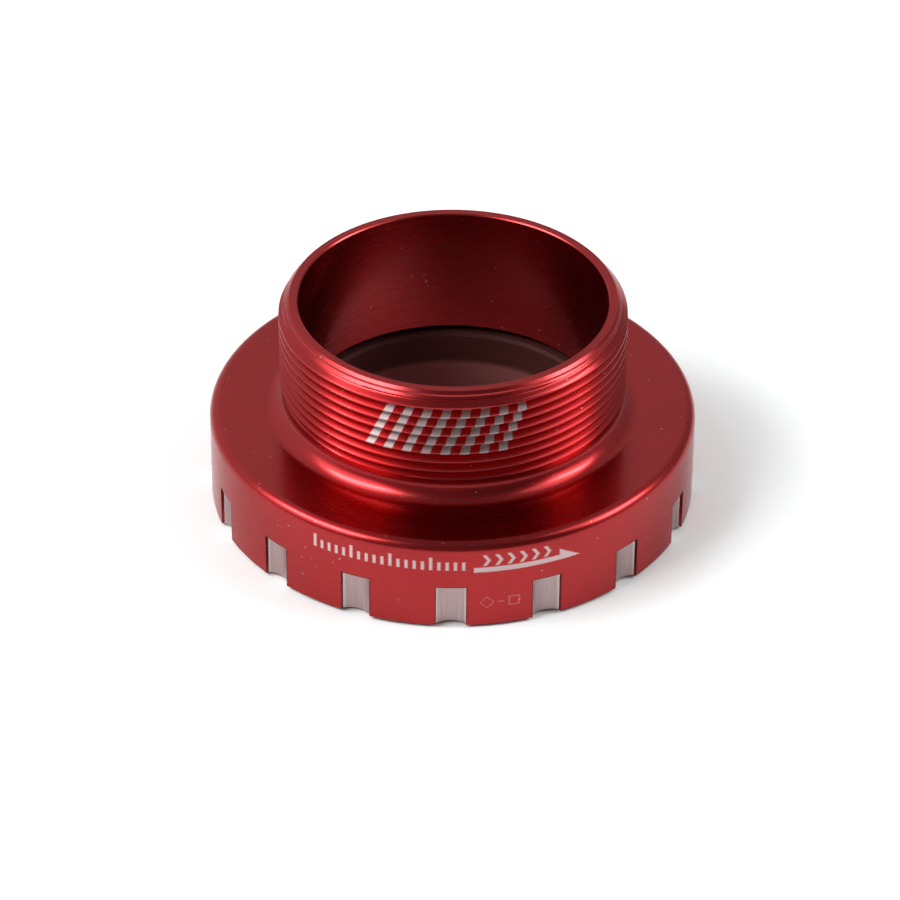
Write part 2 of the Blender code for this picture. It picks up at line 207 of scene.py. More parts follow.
def turned(name, outline, material, body, replaced):
    """A closed ring turned from a closed outline of points (r, z)."""
    verts = []
    faces = []
    count = len(outline)
    for step in range(RING_STEPS):
        angle = 2 * math.pi * step / RING_STEPS
        cos, sin = math.cos(angle), math.sin(angle)
        verts += [(r * cos, r * sin, z) for r, z in outline]
        here, there = step * count, (step + 1) % RING_STEPS * count
        faces += [(here + i - 1, here + i, there + i, there + i - 1) for i in range(1, count)]
        faces.append((here + count - 1, here, there, there + count - 1))
    return add_piece(name, verts, faces, [material], body, replaced)


# ---------------------------------------------------------------- cup body


def smooth_min(a, b, blend):
    """The smaller of two lengths, rounded where they cross."""
    h = max(blend - abs(a - b), 0.0) / blend
    return min(a, b) - h * h * blend / 4


def thread_radius(z, phase_z):
    """Radius of the threaded barrel at height z, for a crest at phase_z and every pitch from it."""
    rounding = 0.05 * MM
    offset = abs((z - phase_z + THREAD_PITCH / 2) % THREAD_PITCH - THREAD_PITCH / 2)
    flank = THREAD_CREST_RADIUS - (offset - THREAD_CREST_WIDTH / 2) / math.tan(THREAD_FLANK_ANGLE)
    form = smooth_min(THREAD_CREST_RADIUS, flank, rounding)
    form = -smooth_min(-THREAD_ROOT_RADIUS, -form, rounding)
    lead_in = RIM_EDGE_RADIUS + LEAD_IN_TOP_Z - z
    run_out_slope = 2
    run_out = THREAD_ROOT_RADIUS + max(z - THREAD_START_Z, 0.0) * run_out_slope
    return min(smooth_min(form, lead_in, LEAD_IN_ROUNDING), run_out)


def cup_columns():
    """Meridians of the cup as (notch angle, offset across the notch or None, angle), round from the back."""
    land_steps = 14
    floor_steps = 10
    half = NOTCH_WIDTH / 2
    offsets = [-half - NOTCH_LIP]
    offsets += [half * (2 * step / floor_steps - 1) for step in range(floor_steps + 1)]
    offsets.append(half + NOTCH_LIP)
    spacing = 2 * math.pi / NOTCH_COUNT
    edge = math.asin(offsets[-1] / FLANGE_RADIUS)
    columns = []
    for index in range(NOTCH_COUNT):
        centre = FRONT_ANGLE + spacing * (index - NOTCH_COUNT // 2)
        columns += [(centre, y, centre + math.asin(y / FLANGE_RADIUS)) for y in offsets]
        land = spacing - 2 * edge
        columns += [
            (centre, None, centre + edge + land * step / land_steps) for step in range(1, land_steps)
        ]
    return columns


def notch_floor(offset):
    """Distance of the notch's hollow floor from the cup's axis plane, at an offset from its middle."""
    half_angle = math.asin(NOTCH_WIDTH / 2 / NOTCH_CUTTER_RADIUS)
    centre = FLANGE_RADIUS - NOTCH_SIDE_DEPTH + NOTCH_CUTTER_RADIUS * math.cos(half_angle)
    return centre - math.sqrt(NOTCH_CUTTER_RADIUS ** 2 - offset ** 2)


class CupMesh:
    """Collects the cup's vertices and faces ring by ring, all rings on the same meridians."""

    def __init__(self):
        self.columns = cup_columns()
        half = NOTCH_WIDTH / 2 + MERGE_DISTANCE
        self.inside = [offset is not None and abs(offset) < half for _, offset, _ in self.columns]
        self.verts = []
        self.faces = []
        self.bare = []
        self.first = None
        self.last = None

    def point(self, column, r, z):
        """A point on a meridian, moved in to the notch's floor where it lies in a notch."""
        centre, offset, angle = column
        half = NOTCH_WIDTH / 2 + MERGE_DISTANCE
        inside = offset is not None and abs(offset) < half and z <= NOTCH_HEIGHT
        if inside and r > notch_floor(offset):
            x = notch_floor(offset)
            return (
                x * math.cos(centre) - offset * math.sin(centre),
                x * math.sin(centre) + offset * math.cos(centre),
                z,
            )
        return (r * math.cos(angle), r * math.sin(angle), z)

    def add_vert(self, co):
        self.verts.append(co)
        return len(self.verts) - 1

    def add_face(self, corners, bare=False):
        self.faces.append(corners)
        self.bare.append(int(bare))

    def ring(self, r, z):
        return [self.add_vert(self.point(column, r, z)) for column in self.columns]

    def join(self, upper, lower, in_notch=False):
        """Quads between two rings; in_notch says that they cross the notches, whose floors are bare."""
        for i in range(len(upper)):
            bare = in_notch and self.inside[i - 1] and self.inside[i]
            self.add_face((upper[i - 1], lower[i - 1], lower[i], upper[i]), bare)

    def add_rings(self, outline, in_notch=False):
        """Rings down an outline, each joined to the one before it."""
        for r, z in outline:
            ring = self.ring(r, z)
            if self.last is None:
                self.first = ring
            else:
                self.join(self.last, ring, in_notch)
            self.last = ring

    def add_thread(self, top_z, bottom_z):
        """Rows that climb with the thread, from a level ring at top_z down to one at bottom_z."""
        rows_per_pitch = 18
        end_gap = 0.4
        rise = THREAD_PITCH / rows_per_pitch
        start_angle = self.columns[0][2]
        top = self.ring(thread_radius(top_z, top_z), top_z)
        self.join(self.last, top)
        bottom = self.ring(THREAD_ROOT_RADIUS, bottom_z)
        strips = []
        for column in self.columns:
            turn = (column[2] - start_angle) / (2 * math.pi)
            phase_z = FIRST_CREST_Z + THREAD_PITCH * (column[2] - FRONT_ANGLE) / (2 * math.pi)
            base = bottom_z + THREAD_PITCH * turn
            low = math.ceil((bottom_z + rise * end_gap - base) / rise)
            high = math.floor((top_z - rise * end_gap - base) / rise)
            strip = {}
            for row in range(low, high + 1):
                z = base + rise * row
                strip[row] = self.add_vert(self.point(column, thread_radius(z, phase_z), z))
            strips.append(strip)
        for i, right in enumerate(strips):
            left = strips[i - 1]
            if i == 0:
                right = {row - rows_per_pitch: vert for row, vert in right.items()}
            shared = sorted(set(left) & set(right))
            for row, above in zip(shared, shared[1:]):
                self.add_face((left[above], left[row], right[row], right[above]))
            top_left = [left[row] for row in sorted(left, reverse=True) if row >= shared[-1]]
            top_right = [right[row] for row in sorted(right) if row >= shared[-1]]
            self.add_face((top[i - 1], *top_left, *top_right, top[i]))
            low_left = [left[row] for row in sorted(left, reverse=True) if row <= shared[0]]
            low_right = [right[row] for row in sorted(right) if row <= shared[0]]
            self.add_face((*low_left, bottom[i - 1], bottom[i], *low_right))
        self.last = bottom


def build_cup(red, bare):
    """The cup body, one closed surface: rim, thread, neck, flange with notches, seat and bore."""
    cup = CupMesh()
    fine = 0.04 * MM
    cup.add_rings(soften([
        (BARREL_BORE_RADIUS, (BARREL_TOP_Z + SEAT_DEPTH) / 2, 0),
        (BARREL_BORE_RADIUS, BARREL_TOP_Z - RIM_INNER_CHAMFER, fine),
        (BARREL_BORE_RADIUS + RIM_INNER_CHAMFER, BARREL_TOP_Z, fine),
        (RIM_OUTER_RADIUS, BARREL_TOP_Z, fine),
        (RIM_EDGE_RADIUS, RIM_EDGE_Z, fine),
        (RIM_EDGE_RADIUS, LEAD_IN_TOP_Z, fine),
        (RIM_EDGE_RADIUS + 0.08 * MM, LEAD_IN_TOP_Z - 0.08 * MM, 0),
    ], closed=False))
    cup.add_thread(LEAD_IN_TOP_Z - 0.1 * MM, THREAD_START_Z - 0.15 * MM)
    neck = arc(
        THREAD_ROOT_RADIUS + NECK_FILLET_RADIUS, FLANGE_HEIGHT + NECK_FILLET_RADIUS,
        NECK_FILLET_RADIUS, 180, 270, 20,
    )
    edge = arc(
        FLANGE_RADIUS - FLANGE_EDGE_RADIUS, FLANGE_HEIGHT - FLANGE_EDGE_RADIUS,
        FLANGE_EDGE_RADIUS, 90, 0, 12,
    )
    cup.add_rings(neck)
    cup.add_rings([(neck[-1][0] + 0.1 * MM, FLANGE_HEIGHT), (edge[0][0] - 0.1 * MM, FLANGE_HEIGHT)])
    cup.add_rings(edge)
    notch_top = NOTCH_HEIGHT + NOTCH_LIP
    cup.add_rings([
        (FLANGE_RADIUS, edge[-1][1] - 0.1 * MM),
        (FLANGE_RADIUS, notch_top + 0.2 * MM),
        (FLANGE_RADIUS, notch_top),
    ])
    foot = soften([
        (FLANGE_RADIUS, NOTCH_HEIGHT, 0),
        (FLANGE_RADIUS, FOOT_HEIGHT, fine),
        (FOOT_RADIUS, FOOT_HEIGHT, 0),
    ], closed=False)
    cup.add_rings(foot[:-1], in_notch=True)
    cup.add_rings(soften([
        (FLANGE_RADIUS, FOOT_HEIGHT, 0),
        (FOOT_RADIUS, FOOT_HEIGHT, fine),
        (FOOT_RADIUS, 0.0, fine),
        (SEAT_RADIUS + SEAT_MOUTH_CHAMFER, 0.0, fine),
        (SEAT_RADIUS, SEAT_MOUTH_CHAMFER, fine),
        (SEAT_RADIUS, SEAT_DEPTH, fine),
        (SEAT_RELIEF_RADIUS, SEAT_DEPTH, fine),
        (SEAT_RELIEF_RADIUS, SEAT_DEPTH + SEAT_RELIEF_DEPTH, fine),
        (BARREL_BORE_RADIUS, SEAT_DEPTH + SEAT_RELIEF_DEPTH, fine),
        (BARREL_BORE_RADIUS, (BARREL_TOP_Z + SEAT_DEPTH) / 2 - MM, 0),
    ], closed=False)[1:])
    cup.join(cup.last, cup.first)
    piece = add_piece("cup_shell", cup.verts, cup.faces, [red, bare], "cup", "cup_body", cup.bare)
    return piece


# ---------------------------------------------------------------- bearing and covers


def ring_outlines():
    """Softened outlines of the bearing's turned pieces and the cover, by CAD node."""
    fine = 0.05 * MM
    groove_in = math.degrees(math.acos((PITCH_RADIUS - INNER_LAND_RADIUS) / RACEWAY_RADIUS))
    groove_out = math.degrees(math.acos((OUTER_LAND_RADIUS - PITCH_RADIUS) / RACEWAY_RADIUS))
    inner_end = [
        (BEARING_BORE_RADIUS, BEARING_OUTBOARD_Z + RING_CHAMFER, fine),
        (BEARING_BORE_RADIUS + RING_CHAMFER, BEARING_OUTBOARD_Z, fine),
        (INNER_LAND_RADIUS, BEARING_OUTBOARD_Z, fine),
    ]
    outer_end = [
        (OUTER_LAND_RADIUS, BEARING_OUTBOARD_Z + SEAL_SEAT_DEPTH, fine),
        (SEAL_SEAT_RADIUS, BEARING_OUTBOARD_Z + SEAL_SEAT_DEPTH, fine),
        (SEAL_SEAT_RADIUS, BEARING_OUTBOARD_Z, fine),
        (OUTER_RING_RADIUS - RING_CHAMFER, BEARING_OUTBOARD_Z, fine),
        (OUTER_RING_RADIUS, BEARING_OUTBOARD_Z + RING_CHAMFER, fine),
    ]
    inner_groove = arc(PITCH_RADIUS, BEARING_MID_Z, RACEWAY_RADIUS, 180 + groove_in, 180 - groove_in, 16)
    outer_groove = arc(PITCH_RADIUS, BEARING_MID_Z, RACEWAY_RADIUS, groove_out, -groove_out, 16)
    return {
        "bearing_inner_ring": soften(
            inner_end + [(r, z, 0) for r, z in inner_groove] + mirrored(inner_end, BEARING_MID_Z)
        ),
        "bearing_outer_ring": soften(
            [(r, z, 0) for r, z in outer_groove] + outer_end + mirrored(outer_end, BEARING_MID_Z)
        ),
        "seal_outboard_rubber": soften(seal_outline(fine)),
        "seal_inboard_rubber": soften(mirrored(seal_outline(fine), BEARING_MID_Z)),
        "seal_outboard_insert": soften(insert_outline(fine)),
        "seal_inboard_insert": soften(mirrored(insert_outline(fine), BEARING_MID_Z)),
        "dust_cover": soften([
            (COVER_BORE_RADIUS, COVER_LOW.z, fine),
            (COVER_STEP_RADIUS, COVER_LOW.z, fine),
            (COVER_STEP_RADIUS + COVER_STEP_DEPTH, COVER_LOW.z + COVER_STEP_DEPTH, fine),
            (COVER_HIGH.x, COVER_LOW.z + COVER_STEP_DEPTH, fine),
            (COVER_HIGH.x, COVER_HIGH.z, fine),
            (COVER_BORE_RADIUS, COVER_HIGH.z, fine),
        ]),
        "dust_cover_lip": soften([
            (COVER_HIGH.x + COVER_LIP_GAP, LIP_LOW.z + COVER_STEP_DEPTH, fine),
            (LIP_HIGH.x - COVER_STEP_DEPTH, LIP_LOW.z, fine),
            (LIP_HIGH.x, LIP_LOW.z + COVER_STEP_DEPTH, fine),
            (LIP_HIGH.x, LIP_HIGH.z, fine),
            (COVER_HIGH.x + COVER_LIP_GAP, LIP_HIGH.z, fine),
        ]),
    }


def seal_outline(fine):
    """The outboard seal's rubber: a flat body, a thin lip at the inner ring and a bead in the outer."""
    low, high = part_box("seal_outboard_rubber")
    lip = INNER_LAND_RADIUS + SEAL_LIP_GAP
    taper = 0.25 * MM
    return [
        (lip, low.z, 0),
        (lip, low.z + taper, fine),
        (lip + taper, high.z, fine),
        (high.x, high.z, fine),
        (high.x, low.z + taper, fine),
        (high.x - taper, low.z, fine),
        (OUTER_LAND_RADIUS - 0.3 * MM, low.z, fine),
        (OUTER_LAND_RADIUS - 0.4 * MM, low.z + 0.1 * MM, fine),
        (lip + 0.9 * MM, low.z + 0.1 * MM, fine),
        (lip + 0.8 * MM, low.z, fine),
    ]


def insert_outline(fine):
    """The outboard seal's steel washer."""
    low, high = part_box("seal_outboard_insert")
    inner = INSERT_INNER_RADIUS
    corners = [(inner, low.z), (high.x, low.z), (high.x, high.z), (inner, high.z)]
    return [(r, z, fine) for r, z in corners]


def build_balls(material):
    """A fine sphere for each ball, round the middle of its CAD ball."""
    for index in range(1, BALL_COUNT + 1):
        node = f"ball_{index:02d}"
        low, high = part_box(node)
        bm = bmesh.new()
        place = Matrix.Translation((low + high) / 2)
        bmesh.ops.create_icosphere(bm, subdivisions=4, radius=BALL_RADIUS, matrix=place)
        mesh = bpy.data.meshes.new(f"{node}_polished")
        bm.to_mesh(mesh)
        bm.free()
        mesh.shade_smooth()
        mesh.materials.append(material)
        ball = bpy.data.objects.new(f"{node}_polished", mesh)
        bpy.context.scene.collection.objects.link(ball)
        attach(ball, "cage")
        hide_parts(node)


def build_cage(material):
    """The crown cage: a ring with a round pocket for each ball, and two fingers round it."""
    low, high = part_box("ball_cage")
    pocket_steps = 16
    edge = 0.08 * MM
    ball_pitch = 2 * math.pi / BALL_COUNT
    half_angle = CAGE_POCKET_RADIUS / PITCH_RADIUS
    taper = 0.2 * MM / PITCH_RADIUS
    crown = []
    for index in range(BALL_COUNT):
        ball_angle = index * ball_pitch
        for step in range(pocket_steps + 1):
            lean = math.pi * (step / pocket_steps - 0.5)
            z = BEARING_MID_Z - CAGE_POCKET_RADIUS * math.cos(lean)
            crown.append((ball_angle + half_angle * math.sin(lean), z))
        crown.append((ball_angle + half_angle + taper, high.z))
        crown.append((ball_angle + ball_pitch - half_angle - taper, high.z))
    verts = []
    faces = []
    for angle, crown_z in crown:
        outline = [
            (CAGE_INNER_RADIUS, low.z + edge),
            (CAGE_INNER_RADIUS + edge, low.z),
            (high.x - edge, low.z),
            (high.x, low.z + edge),
            (high.x, crown_z - edge),
            (high.x - edge, crown_z),
            (CAGE_INNER_RADIUS + edge, crown_z),
            (CAGE_INNER_RADIUS, crown_z - edge),
        ]
        verts += [(r * math.cos(angle), r * math.sin(angle), z) for r, z in outline]
    count = len(outline)
    for column in range(len(crown)):
        here, there = column * count, (column + 1) % len(crown) * count
        for i in range(count):
            after = (i + 1) % count
            faces.append((here + i, here + after, there + after, there + i))
    piece = add_piece("ball_cage_moulded", verts, faces, [material], "cage", "ball_cage")


# ---------------------------------------------------------------- materials


class Field:
    """A number that varies over a surface, worked out by Math nodes from the operators used on it."""

    def __init__(self, tree, socket):
        self.tree = tree
        self.socket = socket

    def math(self, operation, *others, clamp=False):
        node = self.tree.nodes.new("ShaderNodeMath")
        node.operation = operation
        node.use_clamp = clamp
        for place, value in zip(node.inputs, (self, *others)):
            if isinstance(value, Field):
                self.tree.links.new(value.socket, place)
            else:
                place.default_value = value
        return Field(self.tree, node.outputs[0])

    def __add__(self, other):
        return self.math("ADD", other)

    def __sub__(self, other):
        return self.math("SUBTRACT", other)

    def __mul__(self, other):
        return self.math("MULTIPLY", other)

    def __mod__(self, other):
        return self.math("FLOORED_MODULO", other)

    def __neg__(self):
        return self * -1.0

    def abs(self):
        return self.math("ABSOLUTE")

    def min(self, other):
        return self.math("MINIMUM", other)

    def max(self, other):
        return self.math("MAXIMUM", other)

    def ramp(self, start, end):
        """0 at start and 1 at end, straight between them."""
        scale = 1.0 / (end - start)
        return self.math("MULTIPLY_ADD", scale, -start * scale, clamp=True)


class Surface:
    """One material in the making, with the fields that its patterns are made from, in millimetres."""

    # Places of the Mix node's colour sockets, whose names it shares with its number sockets
    COLOUR_A = 6
    COLOUR_B = 7
    COLOUR_RESULT = 2

    def __init__(self, name, roughness, metallic=0.0, coat=0.0, coat_roughness=0.1):
        self.material = bpy.data.materials.new(name)
        self.material.use_nodes = True
        self.tree = self.material.node_tree
        self.shader = self.tree.nodes["Principled BSDF"]
        self.shader.inputs["Roughness"].default_value = roughness
        self.shader.inputs["Metallic"].default_value = metallic
        self.shader.inputs["Coat Weight"].default_value = coat
        self.shader.inputs["Coat Roughness"].default_value = coat_roughness
        place = self.tree.nodes.new("ShaderNodeTexCoord")
        split = self.tree.nodes.new("ShaderNodeSeparateXYZ")
        self.tree.links.new(place.outputs["Object"], split.inputs[0])
        self.x, self.y, self.z = [Field(self.tree, socket) * 1000.0 for socket in split.outputs]
        self.r = (self.x * self.x + self.y * self.y).math("SQRT")

    def angle(self):
        """Degrees round the axis from the front, growing to the right."""
        return self.x.math("ARCTAN2", -self.y) * math.degrees(1)

    def noise(self, x, y, z, detail=2.0, roughness=0.5):
        """Smooth noise from 0 to 1, about 0.5, at a place made of three fields."""
        place = self.tree.nodes.new("ShaderNodeCombineXYZ")
        for field, socket in zip((x, y, z), place.inputs):
            self.tree.links.new(field.socket, socket)
        node = self.tree.nodes.new("ShaderNodeTexNoise")
        node.inputs["Scale"].default_value = 1.0
        node.inputs["Detail"].default_value = detail
        node.inputs["Roughness"].default_value = roughness
        self.tree.links.new(place.outputs[0], node.inputs["Vector"])
        return Field(self.tree, node.outputs["Fac"])

    def turning(self, per_mm, drift=0.03):
        """Noise in fine rings round the axis, as a lathe leaves them, which fade in and out as they go."""
        return self.noise(
            self.r * per_mm + self.x * drift,
            self.z * per_mm + self.y * drift,
            (self.x - self.y) * drift,
        )

    def mix(self, mask, low, high):
        """Field that goes from low to high with a mask from 0 to 1; low and high are numbers or fields."""
        node = self.tree.nodes.new("ShaderNodeMix")
        self.tree.links.new(mask.socket, node.inputs["Factor"])
        for name, value in (("A", low), ("B", high)):
            if isinstance(value, Field):
                self.tree.links.new(value.socket, node.inputs[name])
            else:
                node.inputs[name].default_value = value
        return Field(self.tree, node.outputs["Result"])

    def mix_colour(self, mask, low, high):
        """Colour socket that goes from low to high with a mask; each is a colour or a colour socket."""
        node = self.tree.nodes.new("ShaderNodeMix")
        node.data_type = "RGBA"
        self.tree.links.new(mask.socket, node.inputs["Factor"])
        for value, socket in ((low, node.inputs[self.COLOUR_A]), (high, node.inputs[self.COLOUR_B])):
            if isinstance(value, bpy.types.NodeSocket):
                self.tree.links.new(value, socket)
            else:
                socket.default_value = (*value, 1.0)
        return node.outputs[self.COLOUR_RESULT]

    def colour(self, socket):
        self.tree.links.new(socket, self.shader.inputs["Base Color"])

    def roughness(self, field):
        self.tree.links.new(field.socket, self.shader.inputs["Roughness"])

    def brushed_round_axis(self, anisotropy):
        """Spread the highlights across the fine turning grooves, which run round the axis."""
        tangent = self.tree.nodes.new("ShaderNodeTangent")
        tangent.direction_type = "RADIAL"
        tangent.axis = "Z"
        self.tree.links.new(tangent.outputs[0], self.shader.inputs["Tangent"])
        self.shader.inputs["Anisotropic"].default_value = anisotropy
        self.shader.inputs["Anisotropic Rotation"].default_value = 0.25

    def bump(self, height_mm):
        """Raise the surface by a field in millimetres."""
        node = self.tree.nodes.new("ShaderNodeBump")
        node.inputs["Distance"].default_value = MM
        self.tree.links.new(height_mm.socket, node.inputs["Height"])
        self.tree.links.new(node.outputs["Normal"], self.shader.inputs["Normal"])
        self.tree.links.new(node.outputs["Normal"], self.shader.inputs["Coat Normal"])


def notch_distance(surface):
    """Distance outside the nearest notch's outline, measured on the flange's side; negative inside it."""
    spacing = 360 / NOTCH_COUNT
    across = (surface.angle() + spacing / 2) % spacing - spacing / 2
    aside = across.abs() * (math.radians(1) * FLANGE_RADIUS / MM) - NOTCH_WIDTH / 2 / MM
    return aside.max(surface.z - NOTCH_HEIGHT / MM)


def outside_box(u, z, low_u, high_u, low_z, high_z):
    """Distance outside an upright rectangle; negative inside it."""
    return (u - high_u).max(-u + low_u).max(z - high_z).max(-z + low_z)


def arrow_mark(u, z):
    """An arrow along the flange: its shaft, and a head with a barb on the upper side only."""
    barb_start_u = 10.85
    barb_low_z = 6.62
    tip_u = 13.1
    tip_z = 6.58
    slope_u = 0.506
    slope_z = 0.862
    shaft = outside_box(u, z, low_u=2.2, high_u=10.9, low_z=6.65, high_z=7.2)
    slope = (u - tip_u) * slope_u + (z - tip_z) * slope_z
    barb = (-z + barb_low_z).max(-u + barb_start_u).max(slope)
    return shaft.min(barb)


def tick_marks(u, z):
    """A row of upright ticks, every fifth of them taller."""
    pitch = 0.8
    half_width = 0.15
    short_top_z = 7.9
    extra = 0.5
    across = (u % pitch - pitch / 2).abs() - half_width
    tall = (u % (pitch * 5) - pitch * 2.5).abs() - pitch / 2
    top_z = tall.ramp(0.05, -0.05) * extra + short_top_z
    row = outside_box(u, z, low_u=-14.2, high_u=1.5, low_z=6.95, high_z=8.5)
    return across.max(row).max(z - top_z)


def chevron_marks(u, z):
    """A row of chevrons over the arrow, which point along it."""
    count = 6
    pitch = 1.22
    start_u = 3.05
    point_z = 8.0
    mid_z = 8.02
    half_height = 0.63
    half_stroke = 0.18
    lean = 0.7
    along = u + (z - point_z).abs() * lean - start_u
    half_row = pitch * count / 2
    row = (along - half_row).abs() - half_row
    stroke = (along % pitch - pitch / 2).abs() - half_stroke
    return stroke.max(row).max((z - mid_z).abs() - half_height)


def scribed_figure(u, z):
    """A diamond, a dash and a square in thin lines, low on the flange's side."""
    half_line = 0.03
    dash_z = 2.95
    diamond = ((u - 3.5).abs() + (z - dash_z).abs() - 0.66).abs()
    dash = outside_box(u, z, low_u=4.6, high_u=5.2, low_z=dash_z, high_z=dash_z)
    square = ((u - 6.2).abs().max((z - 2.9).abs()) - 0.5).abs()
    return diamond.min(dash).min(square) - half_line


def flange_marks(surface):
    """Masks of the etched marks on the flange's side and of the faint figure scribed below them."""
    u = surface.angle() * (math.radians(1) * FLANGE_RADIUS / MM)
    z = surface.z
    on_side = surface.r.ramp(23.9, 24.1)
    etched = arrow_mark(u, z).min(tick_marks(u, z)).min(chevron_marks(u, z))
    scribed = scribed_figure(u, z)
    return etched.ramp(MARK_EDGE, -MARK_EDGE) * on_side, scribed.ramp(MARK_EDGE, -MARK_EDGE) * on_side


def thread_marks(surface):
    """Mask of the etched bars that lean across the thread's crests at the front."""
    pitch = 1.9
    bars_each_way = 4
    half_width = 0.44
    mid_u = -0.6
    mid_z = 18.1
    half_height = 2.5
    lean = 0.45
    u = surface.angle() * (math.radians(1) * THREAD_CREST_RADIUS / MM)
    slant = u - mid_u - (surface.z - mid_z) * lean
    band = ((surface.z - mid_z).abs() - half_height).max(slant.abs() - pitch * bars_each_way)
    bars = ((slant % pitch - pitch / 2).abs() - half_width).max(band)
    on_thread = surface.r.ramp(18.2, 18.0) * surface.r.ramp(16.6, 16.7)
    return bars.ramp(MARK_EDGE, -MARK_EDGE) * on_thread


def anodised_red():
    """Red anodised aluminium: satin, turned in fine rings, with the etched marks laid bare."""
    roughness = 0.27
    surface = Surface(
        "red_anodised_aluminium_fine", roughness, metallic=1.0, coat=0.5, coat_roughness=0.18
    )
    surface.shader.inputs["Specular Tint"].default_value = (0.75, 0.5, 0.5, 1.0)
    surface.brushed_round_axis(0.6)
    etched, scribed = flange_marks(surface)
    bars = thread_marks(surface)
    rings = surface.turning(9.0)
    coarse = surface.turning(2.5)
    cloud = surface.noise(surface.x * 0.12, surface.y * 0.12, surface.z * 0.12)
    dust = surface.noise(surface.x * 3.0, surface.y * 3.0, surface.z * 3.0, detail=0.0)
    # Painted shade: a thin dark line just outside each notch's top and sides, on the flange's side, mixed
    # into the red.
    outline = (notch_distance(surface) - 0.06).abs().ramp(0.1, 0.04) * surface.r.ramp(24.2, 24.3)
    body = surface.mix_colour(cloud.ramp(0.3, 0.7), (0.31, 0.006, 0.008), (0.35, 0.008, 0.010))
    body = surface.mix_colour(outline * 0.7, body, (0.06, 0.001, 0.002))
    body = surface.mix_colour(scribed * 0.55, body, (0.62, 0.3, 0.3))
    body = surface.mix_colour(dust.ramp(0.84, 0.88) * 0.6, body, (0.6, 0.4, 0.4))
    body = surface.mix_colour(bars, body, (0.37, 0.295, 0.295))
    surface.colour(surface.mix_colour(etched, body, (0.6, 0.44, 0.44)))
    marks = etched.max(bars)
    turned_roughness = (rings - 0.5) * 0.06 + (coarse - 0.5) * 0.05 + roughness
    surface.roughness(surface.mix(marks, turned_roughness, 0.5))
    surface.bump((rings - 0.5) * 0.001 - marks * 0.01)
    return surface.material


def bare_aluminium():
    """Aluminium laid bare by the notch cutter, with its tool lines running up the floor."""
    surface = Surface("bare_aluminium", 0.35, metallic=1.0)
    lines = surface.noise(surface.x * 5.0, surface.y * 5.0, surface.z * 0.25, detail=3.0)
    floor = surface.mix_colour(lines.ramp(0.3, 0.7), (0.35, 0.255, 0.252), (0.43, 0.325, 0.322))
    # Painted highlight: a lighter band along the inside of each notch's edge, mixed into the bare colour.
    lip = notch_distance(surface).ramp(-0.2, -0.08)
    surface.colour(surface.mix_colour(lip * 0.6, floor, (0.6, 0.5, 0.5)))
    surface.roughness(lines * 0.2 + 0.3)
    surface.bump((lines - 0.5) * 0.012)
    return surface.material


def ring_steel():
    """Bearing ring steel, ground and then blackened, with a painted pale patch of light low in the bore."""
    surface = Surface("blackened_ring_steel", 0.6)
    surface.shader.inputs["Specular IOR Level"].default_value = 0.1
    rings = surface.turning(12.0, drift=0.1)
    black = surface.mix_colour(rings.ramp(0.3, 0.7), (0.04, 0.011, 0.009), (0.06, 0.017, 0.015))
    # Painted light: the bore's lower part is painted lighter and warmer, as a pale patch of light.
    low_in_bore = surface.z.ramp(4.9, 4.3) * surface.r.ramp(15.3, 15.2)
    painted_light_patch = low_in_bore * (rings * 0.4 + 0.7)
    surface.colour(surface.mix_colour(painted_light_patch, black, (0.2, 0.07, 0.065)))
    surface.roughness(rings * 0.2 + 0.5)
    surface.bump((rings - 0.5) * 0.003)
    return surface.material


def ball_steel():
    """Polished ball steel, almost a mirror."""
    surface = Surface("polished_ball_steel_fine", 0.06, metallic=1.0)
    haze = surface.noise(surface.x * 1.5, surface.y * 1.5, surface.z * 1.5, detail=3.0)
    surface.colour(surface.mix_colour(haze, (0.58, 0.58, 0.6), (0.64, 0.64, 0.66)))
    surface.roughness(haze * 0.06 + 0.03)
    return surface.material


def moulded_nylon():
    """Natural nylon of the moulded cage, faintly mottled and waxy."""
    surface = Surface("cage_nylon_fine", 0.5)
    mottle = surface.noise(surface.x * 2.0, surface.y * 2.0, surface.z * 2.0, detail=4.0)
    surface.colour(surface.mix_colour(mottle.ramp(0.3, 0.7), (0.58, 0.53, 0.42), (0.68, 0.64, 0.54)))
    surface.roughness(mottle * 0.2 + 0.38)
    surface.bump(mottle * 0.004)
    return surface.material


def seal_rubber():
    """Black nitrile rubber, matt with a fine grain."""
    surface = Surface("seal_rubber_fine", 0.65)
    grain = surface.noise(surface.x * 14.0, surface.y * 14.0, surface.z * 14.0, detail=3.0)
    surface.colour(surface.mix_colour(grain.ramp(0.3, 0.7), (0.014, 0.014, 0.016), (0.03, 0.03, 0.032)))
    surface.roughness(grain * 0.25 + 0.5)
    surface.bump(grain * 0.006)
    return surface.material


def plated_steel():
    """Zinc-plated stamped washer, dull with a spangle."""
    surface = Surface("plated_insert_steel_fine", 0.35, metallic=1.0)
    spangle = surface.noise(surface.x * 1.2, surface.y * 1.2, surface.z * 1.2, detail=5.0)
    surface.colour(surface.mix_colour(spangle.ramp(0.3, 0.7), (0.44, 0.44, 0.42), (0.56, 0.56, 0.54)))
    surface.roughness(spangle * 0.3 + 0.22)
    return surface.material


def black_anodised():
    """Black anodised aluminium cover, turned in fine rings."""
    surface = Surface("black_anodised_cover_fine", 0.4, metallic=1.0, coat=0.2)
    rings = surface.turning(8.0)
    surface.colour(surface.mix_colour(rings.ramp(0.3, 0.7), (0.022, 0.022, 0.025), (0.045, 0.045, 0.048)))
    surface.roughness(rings * 0.25 + 0.28)
    surface.bump((rings - 0.5) * 0.005)
    return surface.material


# ---------------------------------------------------------------- studio


